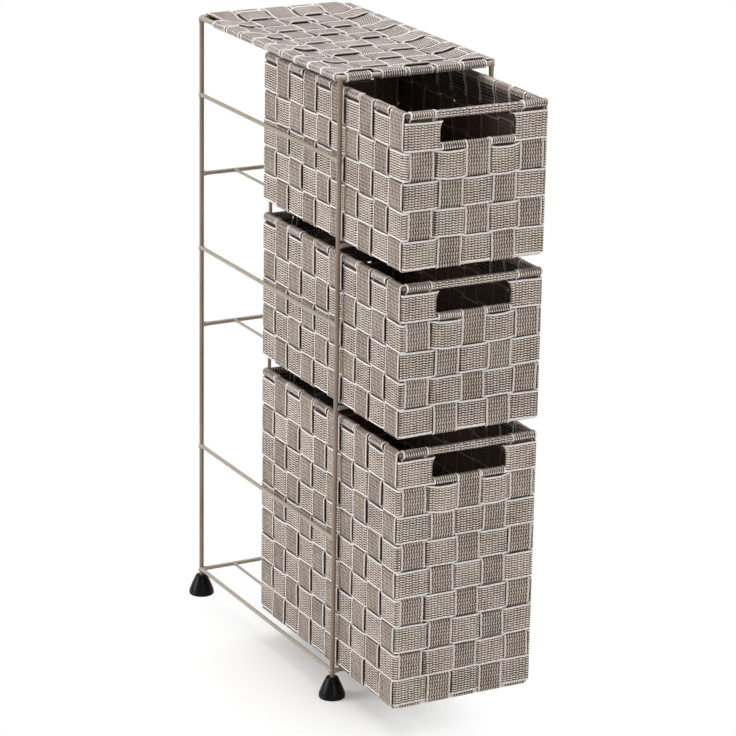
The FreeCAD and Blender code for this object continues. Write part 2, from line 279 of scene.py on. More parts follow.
def show_rods(node, sink=ROD_SINK, weld=WELD_SWELL, knuckle=0.0):
    """Round rods in place of a CAD node's flat-sided ones: a solid's box gives its line and thickness."""
    rods = []
    for low, high in solid_boxes(node):
        size = high - low
        axis = int(np.argmax(size))
        start = (low + high) / 2
        end = start.copy()
        start[axis], end[axis] = low[axis], high[axis]
        rods.append(welded_rod(start, end, np.delete(size, axis).max(), sink, weld))
        if knuckle:
            outward = np.array([np.sign(start[0]) * KNUCKLE_OUT, 0, 0])
            past = np.sign(end - start) * KNUCKLE_PAST
            rods += [bead(start + outward - past, knuckle), bead(end + outward + past, knuckle)]
    made = mesh_object(node + "_round", *joined(rods), TAUPE)
    painted_top_light_mark(made, level=axis < 2)
    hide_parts(node)
    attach(made, "frame")


def bent_loop(half_x, half_y, bend, middle):
    """Points of a level rounded rectangle about a middle: a quarter turn of radius bend at each corner."""
    turn = np.pi / 2 * (np.arange(4)[:, None] + np.linspace(0, 1, BEND_STEPS))
    corner_x = np.array([[1], [-1], [-1], [1]]) * (half_x - bend)
    corner_y = np.array([[1], [1], [-1], [-1]]) * (half_y - bend)
    flat = np.stack([corner_x + bend * np.cos(turn), corner_y + bend * np.sin(turn), 0 * turn], 2)
    return flat.reshape(-1, 3) + middle


ring_low, ring_high = (np.array(corner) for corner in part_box("top_ring"))
ring_middle = (ring_low + ring_high) / 2
reach_x, reach_y = (ring_high - ring_low)[:2] / 2 - RING_RADIUS
ring_path = bent_loop(reach_x, reach_y, RING_BEND, ring_middle)
ring_rod = tube(ring_path, np.full(len(ring_path), RING_RADIUS), UP, True)
ring = mesh_object("top_ring_round", *ring_rod, TAUPE)
painted_top_light_mark(ring, level=True)
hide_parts("top_ring")
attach(ring, "frame")
for corner in ("front_left", "front_right", "rear_left", "rear_right"):
    show_rods(corner + "_post")
for side in ("left", "right"):
    show_rods(side + "_base_rail", knuckle=KNUCKLE_RADIUS)
    for drawer in ("top", "middle", "bottom"):
        show_rods(f"{drawer}_{side}_guard", knuckle=KNUCKLE_RADIUS)
for drawer in ("top", "middle", "bottom"):
    show_rods(f"{drawer}_runners")
    for end in ("front", "rear"):
        show_rods(f"{drawer}_{end}_cross_rod")
show_rods("back_stop_rod", sink=STOP_SINK, weld=0.0)


# Feet: black moulded rubber cones pushed onto the post ends.
# Turned shape: a rounded foot ring, a shallow groove above it, a slightly full cone and a rounded mouth.
FOOT_RADIUS = 0.0135
FOOT_MOUTH = 0.0065
FOOT_HEIGHT = 0.022
FOOT_SIDES = 64
BASE_ROUNDING = 0.0012
ROUNDING_STEPS = 7
GROOVE_DEPTHS = np.array([0, 0.1, 0.6, 0.5]) / 1000
GROOVE_HEIGHTS = np.array([3.1, 3.5, 3.8, 4.2]) / 1000
CONE_FOOT = np.array([FOOT_RADIUS - 0.0002, 0.0046])
CONE_TOP = np.array([FOOT_MOUTH, FOOT_HEIGHT - 0.0014])
CONE_SWELL = 0.0003
CONE_STEPS = 12
MOUTH_RADII = np.array([6.1, 5.2, 2.9, 2.6]) / 1000
MOUTH_DROPS = np.array([0.5, 0, 0.2, 3.0]) / 1000


def turned(profile, centre, sides):
    """Surface of revolution about a vertical axis: each (radius, height) goes round by the angle.

    Both ends are closed by a flat face."""
    turn = np.linspace(0, 2 * np.pi, sides, endpoint=False)
    radius, height = profile[:, :1], profile[:, 1:]
    verts = np.stack([radius * np.cos(turn), radius * np.sin(turn), height + 0 * turn], axis=2) + centre
    faces = grid_faces(len(profile), sides)[:, ::-1].tolist()
    last = (len(profile) - 1) * sides
    return verts.reshape(-1, 3), faces + [list(range(sides))[::-1], list(range(last, last + sides))]


def foot_rubber():
    """Black rubber: faint mottling and a fine grain that breaks the gloss."""
    material, shader, place = new_material("foot_rubber", Specular_IOR_Level=0.14)
    mottle = place.noise(160.0, 4.0)
    grain = place.noise(2200.0, 2.0)
    feed(mottle.ramp(0.3, 0.75).mix(paint(4, 4, 4), paint(10, 10, 10)), shader, "Base Color")
    feed(0.2 + 0.2 * mottle, shader, "Roughness")
    feed(grain.bump(0.1, 0.0002), shader, "Normal")
    return material


def foot_profile():
    """Outline from the edge of the base over the foot ring and its groove, up the cone, into the mouth."""
    turn = np.linspace(-np.pi / 2, 0, ROUNDING_STEPS)
    edge_middle = np.array([FOOT_RADIUS - BASE_ROUNDING, BASE_ROUNDING])
    base_edge = edge_middle + BASE_ROUNDING * np.stack([np.cos(turn), np.sin(turn)], 1)
    groove = np.stack([FOOT_RADIUS - GROOVE_DEPTHS, GROOVE_HEIGHTS], 1)
    rise = np.linspace(0, 1, CONE_STEPS)[:, None]
    swell = np.array([CONE_SWELL, 0]) * np.sin(np.pi * rise)
    cone = CONE_FOOT + rise * (CONE_TOP - CONE_FOOT) + swell
    mouth = np.stack([MOUTH_RADII, FOOT_HEIGHT - MOUTH_DROPS], 1)
    return np.concatenate([base_edge, groove, cone, mouth])


foot_middles = [((low + high) / 2 * np.array([1, 1, 0])) for low, high in solid_boxes("feet")]
cones = [turned(foot_profile(), middle, FOOT_SIDES) for middle in foot_middles]
feet = mesh_object("cone_feet", *joined(cones), foot_rubber())
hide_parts("feet")
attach(feet, "frame")


# Webbing: flat woven tape of greige and pale yarn, with a zigzag rib along it and a pale corded edge.
# The same tape makes the top and the drawers; its pattern follows the tape, so it reads the tape's own map.
TAPE_THICKNESS = 0.0012
TAPE_STEP = 0.0026
LONG_RUN = 0.02
RUN_END = 0.006
ARC_STEP = 0.26
CORD_SWELL = 0.00032
CORD_INSET = 0.0010
CORD_SPREAD = 0.0007
CORD_TWIST = 0.0021
EDGE_ROUNDING = 0.0006
EDGE_SHADE = 0.15
RIB_PITCH = 0.0025
RIB_DEPTH = 0.0007
ZIGZAG_LENGTH = 0.0070
ZIGZAG_REACH = 0.0005
WEAVE_LIFT = 0.00105
CROSSING_LENGTH = 0.0044
EARLY_DIVE = 0.0010
UNDER_PAINTED_SHADE = 0.9
UNDER_START = 0.8
WANDER = 0.0004
WANDER_LENGTHS = (0.031, 0.0117)
SHORT_SHARE = 0.6
FLUTTER = 0.006
FLUTTER_LENGTH = 0.0037
TONE_SPREAD = 0.05


def webbing(name, width, dark, pale, edge_width, edge_colour, pitch=RIB_PITCH, depth=RIB_DEPTH):
    """Ribs sin(2 pi (across / pitch + zigzag)) with stitches along them, a corded edge, and a back painted
    dark as shade.
    """
    material, shader, place = new_material(name, Specular_IOR_Level=0.2)
    tape = place.node("ShaderNodeUVMap", {"uv_map": "tape"}, {})
    along = tape.node("ShaderNodeSeparateXYZ", {}, {0: tape}, 0)
    across = Shade(along.tree, along.socket.node.outputs[1])
    tone_and_shade = place.mark("tone_and_shade")
    yarn = place.noise(520.0, 3.0, 0.6)
    drift = place.noise(45.0, 2.0)
    turns = along / ZIGZAG_LENGTH + (drift - 0.5) * 0.35
    swing = turns.math("PINGPONG", turns, 0.5)
    zigzag = swing * (4 * ZIGZAG_REACH / pitch) + (yarn - 0.5) * 0.35
    rib = (across / pitch + zigzag).wave()
    stitch = (turns * 2).wave()
    slope = turns.wave()
    cord = ((along + across) / CORD_TWIST).wave()
    edge = across.math("ABSOLUTE", across).ramp(width / 2 - edge_width, width / 2 - edge_width * 0.55)
    woven = rib.ramp(0.25, 0.7) * (0.32 + 0.6 * stitch + 0.1 * slope) + 0.065
    # The tone mark is each tape's random tone less its painted shade, which darkens the face and the corded
    # edge.
    share = woven + (yarn - 0.5) * 0.8 + (drift - 0.5) * 0.35 + tone_and_shade
    shaded_edge = (*(0.48 * c for c in edge_colour[:3]), 1.0)
    corded = (cord * 0.5 + yarn * 0.6 + 0.1 + tone_and_shade * 0.6).mix(shaded_edge, edge_colour)
    face = edge.mix(share.mix(dark, pale), corded)
    # Painted shade: the back of the tape and the outermost face points at its edges are coloured dark brown
    # for the shade inside the drawer and in the slits.
    painted_back_shade = edge.mix(paint(104, 84, 73), paint(148, 132, 122))
    feed((place.mark("painted_back_shade") * 0.95).mix(face, painted_back_shade), shader, "Base Color")
    feed(0.75 + 0.2 * yarn, shader, "Roughness")
    height = (1 - edge) * (rib * 0.8 + stitch * 0.25) + edge * (0.7 + 0.5 * cord) + 0.3 * yarn
    feed(height.bump(1.0, depth), shader, "Normal")
    return material


def tape_section(width):
    """Closed outline across the tape: half thickness, a corded swelling near each edge and a rounded edge.

    Gives the places across, the heights, and how far each point has the painted shade of the back."""
    half = np.array([0.2, 0.40, 0.44, 0.47, 0.49, 0.5])
    across = width * np.concatenate([-half[::-1], half])
    from_edge = width / 2 - np.abs(across)
    swelling = CORD_SWELL * np.exp(-((from_edge - CORD_INSET) / CORD_SPREAD) ** 2)
    rounding = np.sqrt(np.clip(1 - (1 - from_edge / EDGE_ROUNDING).clip(0) ** 2, 0, 1))
    lift = (TAPE_THICKNESS / 2 + swelling) * rounding
    # The outermost face points take the painted shade of the back, which darkens the slits along the edges.
    face = np.concatenate([[1, EDGE_SHADE], np.zeros(len(across) - 4), [EDGE_SHADE, 1]])
    painted_back_shade = np.concatenate([face, np.ones(len(across) - 2)])
    return np.concatenate([across, across[-2:0:-1]]), np.concatenate([lift, -lift[-2:0:-1]]), painted_back_shade


def stops(length):
    """Distances along a straight run: a tape step apart, and closer near both ends of a long run."""
    if length < LONG_RUN:
        return np.linspace(0, length, max(3, math.ceil(length / TAPE_STEP) + 1))
    near = np.array([0, 0.7, 1.4, 2.1, 2.8, 3.6, 4.6]) / 1000
    steps = math.ceil((length - 2 * RUN_END) / TAPE_STEP)
    return np.concatenate([near, np.linspace(RUN_END, length - RUN_END, steps + 1), length - near[::-1]])


def rounded_path(corners, radius):
    """Points along straight runs joined by arcs of one radius."""
    corners = np.array(corners, float)
    pieces, start = [], corners[0]
    for before, here, after in zip(corners[:-2], corners[1:-1], corners[2:]):
        inward, outward = here - before, after - here
        inward, outward = inward / np.linalg.norm(inward), outward / np.linalg.norm(outward)
        turn = math.atan2(inward[0] * outward[1] - inward[1] * outward[0], inward @ outward)
        if abs(turn) < 1e-6:
            continue
        reach = radius * math.tan(abs(turn) / 2)
        stop = here - reach * inward
        centre = stop + math.copysign(radius, turn) * np.array([-inward[1], inward[0]])
        pieces.append(start + stops((stop - start) @ inward)[:-1, None] * inward)
        angle = np.linspace(0, turn, max(4, math.ceil(abs(turn) / ARC_STEP)), endpoint=False)[:, None]
        spoke = stop - centre
        pieces.append(centre + np.cos(angle) * spoke + np.sin(angle) * np.array([-spoke[1], spoke[0]]))
        start = here + reach * outward
    length = np.linalg.norm(corners[-1] - start)
    pieces.append(start + stops(length)[:, None] * (corners[-1] - start) / length)
    return np.concatenate(pieces)


def lengths(path):
    """Distance along a path at each of its points."""
    return np.concatenate([[0], np.cumsum(np.linalg.norm(np.diff(path, axis=0), axis=1))])


def lifts(along, middles, levels, crossing=CROSSING_LENGTH, early=EARLY_DIVE):
    """Height of a tape above its line, level to level by a smooth step of length crossing at each middle.

    The step is shifted by early, into the higher of the two levels."""
    steps = np.diff(levels)
    share = np.clip((along[:, None] - np.array(middles) - early * np.sign(steps)) / crossing + 0.5, 0, 1)
    return levels[0] + (share * share * (3 - 2 * share)) @ steps


def halfway(places):
    """Middles between neighbours."""
    places = np.array(places)
    return (places[1:] + places[:-1]) / 2


def tape(path, lift, width, origin, first, second, shift=0.0, tilt=0.0, painted_shade=0.0):
    """Tape carried along a flat path: origin + p * first + q * second, raised by lift to the path's right.

    The tilt raises one edge and lowers the other by as much.
    Lengths given painted shade, and those under another tape, are painted darker, as shade."""
    first, second = np.array(first, float), np.array(second, float)
    across_axis = np.cross(first, second)
    ahead = np.gradient(path, axis=0)
    ahead /= np.linalg.norm(ahead, axis=1, keepdims=True)
    right = np.stack([ahead[:, 1], -ahead[:, 0]], 1)
    along = lengths(path)
    phase = chance.uniform(0, 2 * np.pi, 3)
    long_wave = np.sin(along / WANDER_LENGTHS[0] + phase[0])
    short_wave = np.sin(along / WANDER_LENGTHS[1] + phase[1])
    sway = shift + WANDER * (long_wave + SHORT_SHARE * short_wave)
    flutter = 1 + FLUTTER * np.sin(along / FLUTTER_LENGTH + phase[2])
    across, height, painted_back_shade = tape_section(width)
    raised = lift[:, None] + height + np.reshape(tilt, (-1, 1)) * (2 * across / width)
    flat = path[:, None] + raised[:, :, None] * right[:, None]
    over = across * flutter[:, None] + sway[:, None]
    verts = np.array(origin) + flat[..., :1] * first + flat[..., 1:] * second
    verts = verts + over[..., None] * across_axis
    start = chance.uniform(0, 1)
    tape_map = np.stack(np.broadcast_arrays(along[:, None] + start, across), 2)
    # Painted shade: marked lengths, and those diving under another tape, are painted darker through the tone
    # mark.
    shade = painted_shade + UNDER_PAINTED_SHADE * np.clip(-2 * lift / WEAVE_LIFT - UNDER_START, 0, 1)
    tone_and_shade = np.broadcast_to(chance.uniform(-TONE_SPREAD, TONE_SPREAD) - shade[:, None], over.shape).ravel()
    rows, columns = over.shape
    faces = grid_faces(rows, columns).tolist()
    last = (rows - 1) * columns
    faces += [list(range(columns)), list(range(last, last + columns))[::-1]]
    return verts.reshape(-1, 3), faces, tape_map.reshape(-1, 2), np.tile(painted_back_shade, rows), tone_and_shade


def tape_object(name, tapes, material, node, body):
    """Several tapes as one object, with the tape map and the marks of painted back shade and of tone with
    painted shade, in place of a CAD node.
    """
    made = mesh_object(name, *joined(tapes), material)
    corner = np.empty(len(made.data.loops), int)
    made.data.loops.foreach_get("vertex_index", corner)
    layer = made.data.uv_layers.new(name="tape")
    layer.data.foreach_set("uv", np.concatenate([t[2] for t in tapes])[corner].ravel())
    for mark, column in (("painted_back_shade", 3), ("tone_and_shade", 4)):
        values = made.data.attributes.new(mark, "FLOAT", "POINT")
        values.data.foreach_set("value", np.concatenate([t[column] for t in tapes]).astype(np.float32))
    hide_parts(node)
    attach(made, body)


# Woven top: ten tapes across and five from front to back, each folded round the ring and tucked under.
# The weave is pulled tight, so it sinks a little below the rods it is folded over.
CROSS_COUNT = 10
CROSS_WIDTH = 0.0288
CROSS_SPAN = 0.274
CROSS_SHIFT = np.array([-1.5, -4.5, -7.0, -7.0, -6.5, -6.0, -6.0, -4.5, -2.0, -2.0]) / 1000
LONG_WIDTH = 0.0273
LONG_PLACES = np.array([-0.063, -0.0315, 0, 0.0315, 0.063])
FRONT_SHIFT = (-0.0018, 0.0040, 0.0021, 0.0011, -0.0015)
FRONT_SHIFT_LENGTH = 0.06
FOLD_CLEARANCE = 0.0001
FOLD_RADIUS = RING_RADIUS + TAPE_THICKNESS / 2 + FOLD_CLEARANCE
FOLD_BEND = FOLD_RADIUS * 0.98
TUCK = 0.010
CUT_END = 0.009
TOP_SINK = 0.0050
SINK_START = 0.003
SINK_LENGTH = 0.024
ROD_CLEARANCE = 0.004
EDGE_LIFT = 0.0012
LEAST_LOOSE = 0.6

CROSS_TAPE = webbing("webbing_cross", CROSS_WIDTH, paint(56, 44, 39), paint(232, 220, 211),
                     0.0030, paint(253, 248, 245))
LONG_TAPE = webbing("webbing_long", LONG_WIDTH, paint(50, 40, 36), paint(220, 208, 200),
                    0.0025, paint(253, 248, 245))


def folded_path(reach, left_fold=True):
    """Flat path of a top tape, from its tuck under one rod, round it, across, and round the other.

    Without the left fold it is cut off on top, short of the other rod."""
    depth = FOLD_RADIUS
    corners = [(reach - TUCK, -depth), (reach + depth, -depth), (reach + depth, depth)]
    if left_fold:
        corners += [(-reach - depth, depth), (-reach - depth, -depth), (-reach + TUCK, -depth)]
    else:
        corners += [(-reach + CUT_END, depth)]
    return rounded_path(corners, FOLD_BEND)


def sagged(made):
    """A top tape let down with the whole weave: TOP_SINK in the middle and nothing at the rods.

    Between them it goes down by smooth steps in both directions."""
    place = made[0] - ring_middle
    from_rods = np.array([reach_x, reach_y]) - SINK_START - np.abs(place[:, :2])
    inside = np.clip(from_rods / SINK_LENGTH, 0, 1)
    made[0][:, 2] -= TOP_SINK * (inside * inside * (3 - 2 * inside)).prod(1) * (place[:, 2] > 0)
    return made


def evenly(count, span):
    """Places of equally wide tapes that fill a span, symmetric about its middle."""
    return (np.arange(count) / (count - 1) - 0.5) * span


def top_lift(path, reach, other_places, highs, edge_lift):
    """Lift and tilt of a top tape: up or down at each tape of the other direction.

    Where it is up, one edge stands higher, by a chance share of edge_lift."""
    along = lengths(path)
    top = path[:, 1] > 0
    from_rod = along[top][0] + path[top][0, 0]
    order = np.argsort(-other_places)
    first_end, last_end = from_rod - reach - ROD_CLEARANCE, from_rod + reach + ROD_CLEARANCE
    middles = halfway([first_end, *(from_rod - other_places[order]), last_end])
    loose = chance.uniform(LEAST_LOOSE, 1, len(order)) * (highs[order] > 0)
    tilt = lifts(along, middles, np.array([0, *(edge_lift * loose), 0]))
    return lifts(along, middles, np.array([0, *(WEAVE_LIFT * highs[order]), 0])) + tilt, tilt


cross_places = evenly(CROSS_COUNT, CROSS_SPAN) + CROSS_SHIFT
across_tapes = []
for j, y in enumerate(cross_places):
    path = folded_path(reach_x, left_fold=j < CROSS_COUNT - 1)
    highs = np.where((np.arange(len(LONG_PLACES)) + j) % 2, -1, 1)
    lift, tilt = top_lift(path, reach_x, LONG_PLACES, highs, EDGE_LIFT)
    origin = ring_middle + np.array([0, y, 0])
    across_tapes.append(sagged(tape(path, lift, CROSS_WIDTH, origin, (1, 0, 0), UP, tilt=tilt)))
along_tapes = []
for i, x in enumerate(LONG_PLACES):
    path = folded_path(reach_y)
    highs = np.where((np.arange(CROSS_COUNT) + i) % 2, 1, -1)
    lift, _ = top_lift(path, reach_y, cross_places, highs, 0)
    shift = FRONT_SHIFT[i] * np.exp(-(path[:, 0] + reach_y).clip(0) / FRONT_SHIFT_LENGTH)
    origin = ring_middle + np.array([x, 0, 0])
    along_tapes.append(sagged(tape(path, lift, LONG_WIDTH, origin, (0, 1, 0), UP, shift)))
tape_object("top_tapes_across", across_tapes, CROSS_TAPE, "top_cross_straps", "frame")
tape_object("top_tapes_along", along_tapes, LONG_TAPE, "top_long_straps", "frame")


# Drawer wires: the steel wire basket that a drawer is woven on, mostly hidden in the tapes.
# Bent and spot-welded: a rim and a base hoop, four corner posts, and the lower edge and ends of the slot.
WIRE_RADIUS = 0.0014
WIRE_SIDES = 12
WIRE_INSET = 0.0033
WIRE_DROP = 0.00265
WIRE_BEND = 0.004
WIRE_SINK = 0.0002
WIRE_WELD = 0.0003
POST_INSET = WIRE_BEND * 0.3
SLEEVE_RADIUS = 0.0020
RIM_INSET = 0.0024
RIM_BEND = 0.0026
RIM_WIRE_DROP = 0.0042
BASE_INSET = 0.0022
WALL_BUILD = 0.00185
SLOT_LEFT = -0.0388
SLOT_RIGHT = 0.0430
SLOT_DROP = 0.03205
SLOT_POST_OUT = 0.0027
ROW_COUNTS = {"top": 5, "middle": 5, "bottom": 9}


def wire_steel():
    """Brown lacquered wire, the base hoop sleeved in pale yarn: cloudy tone and a faint unevenness."""
    material, shader, place = new_material("wire_steel", Metallic=0.3)
    cloud = place.noise(90.0, 4.0)
    brown = cloud.ramp(0.3, 0.7).mix(paint(132, 108, 92), paint(160, 134, 116))
    sleeve = cloud.mix(paint(184, 174, 164), paint(216, 207, 198))
    feed(place.mark("base").mix(brown, sleeve), shader, "Base Color")
    feed(0.35 + 0.3 * cloud, shader, "Roughness")
    feed(cloud.bump(0.1, 0.0003), shader, "Normal")
    return material


def drawer_frame(drawer):
    """Middle of a drawer, half sizes to the planes of its walls, and the heights of floor and rim."""
    low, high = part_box(drawer + "_hoop_straps")
    middle = np.array([(low.x + high.x) / 2, (low.y + high.y) / 2, 0])
    half_x, half_y = (high.x - low.x) / 2 - WALL_BUILD, (high.y - low.y) / 2 - WALL_BUILD
    return middle, half_x, half_y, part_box(drawer + "_floor_straps")[0].z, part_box(drawer + "_rim_band")[1].z


def wires(drawer):
    """Round wire along each loop and straight of the basket.

    Also tells how many of the first points are the base hoop's."""
    middle, half_x, half_y, floor, rim = drawer_frame(drawer)
    x, y = half_x - WIRE_INSET, half_y - WIRE_INSET
    low, high, edge = floor + WIRE_DROP, rim - RIM_WIRE_DROP, rim - SLOT_DROP - WIRE_DROP
    made = []
    for height, inset, bend in ((low, BASE_INSET, WIRE_BEND), (high, RIM_INSET, RIM_BEND)):
        loop = bent_loop(half_x - inset, half_y - inset, bend, middle + UP * height)
        made.append(tube(loop, np.full(len(loop), SLEEVE_RADIUS), UP, True, WIRE_SIDES))
    corners = [(sx * (x - POST_INSET), sy * (y - POST_INSET)) for sx in (-1, 1) for sy in (-1, 1)]
    straights = [((*place, low), (*place, high)) for place in corners]
    straights.append(((-x, -y, edge), (x, -y, edge)))
    for post in (SLOT_LEFT - SLOT_POST_OUT, SLOT_RIGHT + SLOT_POST_OUT):
        straights.append(((post, -y, edge), (post, -y, high)))
    for start, end in np.array(straights):
        made.append(welded_rod(middle + start, middle + end, 2 * WIRE_RADIUS, WIRE_SINK, WIRE_WELD))
    return joined(made), len(made[0][0])


WIRE_STEEL = wire_steel()
for drawer in ROW_COUNTS:
    (verts, faces), base_count = wires(drawer)
    basket = mesh_object(drawer + "_wires", verts, faces, WIRE_STEEL)
    mark = basket.data.attributes.new("base", "FLOAT", "POINT")
    mark.data.foreach_set("value", (np.arange(len(verts)) < base_count).astype(np.float32))
    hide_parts(drawer + "_wire_frame")
    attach(basket, drawer + "_drawer")


# Drawer hoops: tapes woven level round the drawer, row under row, outside and inside the uprights in turn.
# A hoop's ends meet under an upright of the rear wall.
# The top hoop is open at the handle slot and folds in there.
HOOP_WIDTH = 0.0280
ROW_PITCH = 0.0285
TOP_ROW_DROP = 0.0236
ROW_SAG = 0.0002
BASE_RAISE = {"top": 0.0008, "middle": 0.0008, "bottom": 0.0026}
CORNER_RADIUS = 0.0008
CORNER_LENGTH = 0.0030
CORNER_DIVE = 0.0017
LAST_CORNER_DIVES = (0.0012, 0.0030)
FRONT_DIVE = 0.0010
LEFT_RISE = 0.0022
LEFT_DIVE = 0.0008
LEFT_LENGTH = 0.0036
CORNER_SHADE_START = 0.0008
LAST_SHADE_START = -0.0004
CORNER_SHADE_END = 0.0075
SLOT_TAIL = 0.0035
SLOT_SHADE = (0.0006, 0.005)
SLOT_SPAN = 0.06
SLOT_FLARE = 0.0034
FLARE_LENGTH = 0.006
FLARE_DEPTH = 0.010
FLARE_POWER = 3.2
LIP_DIP = 0.0020
LIP_PLACES = (-0.0237, 0.0292)
LIP_REACH = 0.014
FRONT_BAND = 0.002
COLUMN_PITCH = {"front": 0.0302, "right": 0.029, "rear": 0.0302, "left": 0.029}
COLUMN_COUNT = {"front": 5, "right": 10, "rear": 5, "left": 10}
COLUMN_SHIFT = {"front": (1.6, 4.0, 2.5, 1.8, 0.6), "right": 0, "rear": 0,
                "left": (-2.4, -4.0, -4.0, -3.0, -2.5, -2.0, -1.5, -2.0, 0, 0.8)}
COLUMNS = sum(COLUMN_COUNT.values())
LAST_COLUMNS = np.cumsum(list(COLUMN_COUNT.values())) - 1
FRONT_LAST, RIGHT_LAST, REAR_LAST, LEFT_LAST = LAST_COLUMNS.tolist()
REAR_MIDDLE = (RIGHT_LAST + 1 + REAR_LAST) // 2
OUTWARD = {"front": (0, -1, 0), "right": (1, 0, 0), "rear": (0, 1, 0), "left": (-1, 0, 0)}

# Painted light: the hoops' tape is paler than the uprights' same webbing, standing in for the light its level
# ribs catch on the side walls.
HOOP_TAPE = webbing("webbing_hoop", HOOP_WIDTH, paint(54, 42, 35), paint(232, 218, 204),
                    0.0026, paint(248, 242, 237))


def crossings(half_x, half_y):
    """Places of the uprights on the wall planes, from the front left corner round by the right.

    They are set one by one, so on the front and left walls the steps are a little uneven."""
    places = []
    for wall, outward in OUTWARD.items():
        outward = np.array(outward)
        onward = np.cross(UP, outward)
        column = (np.arange(COLUMN_COUNT[wall]) - (COLUMN_COUNT[wall] - 1) / 2) * COLUMN_PITCH[wall]
        column = column + np.array(COLUMN_SHIFT[wall]) / 1000
        places.append(outward * np.array([half_x, half_y, 0]) + column[:, None] * onward)
    return np.concatenate(places)


def hoop(half_x, half_y, row):
    """Flat path and lift of one hoop: a rectangle with rounded corners, out where column + row is even.

    Also gives its dip below the lip, and where it has painted shade, inside a corner or at the slot."""
    places = crossings(half_x, half_y)[:, :2]
    outside = np.where((np.arange(COLUMNS) + row) % 2, -1, 1)
    corners = [(-half_x, half_y), (-half_x, -half_y), (half_x, -half_y), (half_x, half_y)]
    if row:
        first = REAR_MIDDLE + row % 2
        order = (first + np.arange(COLUMNS + 1)) % COLUMNS
        path = rounded_path([places[first], *corners, places[first]], CORNER_RADIUS)
    else:
        order = np.arange(FRONT_LAST, COLUMNS + 1) % COLUMNS
        fold = TAPE_THICKNESS / 2 + WEAVE_LIFT
        left, right, tail = SLOT_LEFT - fold, SLOT_RIGHT + fold, -half_y + SLOT_TAIL
        path = rounded_path([(right, tail), (right, -half_y), corners[2], corners[3], corners[0],
                             corners[1], (left, -half_y), (left, tail)], CORNER_RADIUS)
    along = lengths(path)
    where = along[np.argmin(np.linalg.norm(path[:, None] - places[order], axis=2), axis=0)]
    if row:
        where[0], where[-1] = 0, along[-1]
    column = order[:-1]
    last = column == LEFT_LAST
    at_corner = np.isin(column, LAST_COLUMNS)
    on_left = (column > REAR_LAST) & ~last
    comes_out = np.sign(np.diff(outside[order]))
    on_front_early = np.where(comes_out > 0, 0, -FRONT_DIVE)
    on_left_early = np.where(comes_out > 0, LEFT_RISE, -LEFT_DIVE)
    early = np.select([last, at_corner, column < FRONT_LAST, on_left],
                      [-LAST_CORNER_DIVES[row % 2], -CORNER_DIVE, on_front_early, on_left_early],
                      EARLY_DIVE)
    length = np.select([at_corner, on_left], [CORNER_LENGTH, LEFT_LENGTH], CROSSING_LENGTH)
    lift = lifts(along, halfway(where), WEAVE_LIFT * outside[order], length, early)
    # Painted shade: the length of a hoop diving into a corner, and the fold at the slot, are painted darker.
    into_corner = (halfway(where)[at_corner] - along[:, None]) * comes_out[at_corner]
    shade_start = np.where(last[at_corner] & (row % 2 == 0), LAST_SHADE_START, CORNER_SHADE_START)
    shaded = (into_corner > -early[at_corner] - shade_start) & (into_corner < CORNER_SHADE_END)
    painted_shade = shaded.any(1) * 1.0
    behind = path[:, 1] + half_y
    if not row:
        painted_shade[(behind > SLOT_SHADE[0]) & (behind < SLOT_SHADE[1]) & (np.abs(path[:, 0]) < SLOT_SPAN)] = 1
    below_lip = np.exp(-(np.subtract.outer(path[:, 0], LIP_PLACES) / LIP_REACH) ** 4).sum(1)
    dip = LIP_DIP * below_lip * (behind < FRONT_BAND) * (row == 1)
    return path, lift, -dip, painted_shade


def row_heights(drawer, rim):
    """Heights of the middles of a drawer's rows: equal steps, with the rows below the first a little lower.

    The last row is raised a little over the base hoop."""
    row = np.arange(ROW_COUNTS[drawer])
    height = rim - TOP_ROW_DROP - ROW_PITCH * row - ROW_SAG * (row > 0)
    height[-1] += BASE_RAISE[drawer]
    return height


def flare_slot(made, middle, half_y):
    """Ends of the open hoop drawn towards the slot at its upper and lower edge.

    x moves by SLOT_FLARE * (2 across / width) ** FLARE_POWER, less and less away from the slot."""
    verts, tape_map = made[0], made[2]
    x = verts[:, 0] - middle[0]
    beyond = np.where(x > 0, x - SLOT_RIGHT, SLOT_LEFT - x)
    near = np.clip(1 - beyond / FLARE_LENGTH, 0, 1) * (verts[:, 1] < middle[1] - half_y + FLARE_DEPTH)
    verts[:, 0] -= np.sign(x) * SLOT_FLARE * near * np.abs(2 * tape_map[:, 1] / HOOP_WIDTH) ** FLARE_POWER


for drawer, rows in ROW_COUNTS.items():
    middle, half_x, half_y, floor, rim = drawer_frame(drawer)
    hoops = []
    for row in range(rows):
        path, lift, dip, painted_shade = hoop(half_x, half_y, row)
        origin = middle + UP * row_heights(drawer, rim)[row]
        hoops.append(tape(path, lift, HOOP_WIDTH, origin, (1, 0, 0), (0, 1, 0), dip, painted_shade=painted_shade))
    flare_slot(hoops[0], middle, half_y)
    tape_object(drawer + "_hoops", hoops, HOOP_TAPE, drawer + "_hoop_straps", drawer + "_drawer")


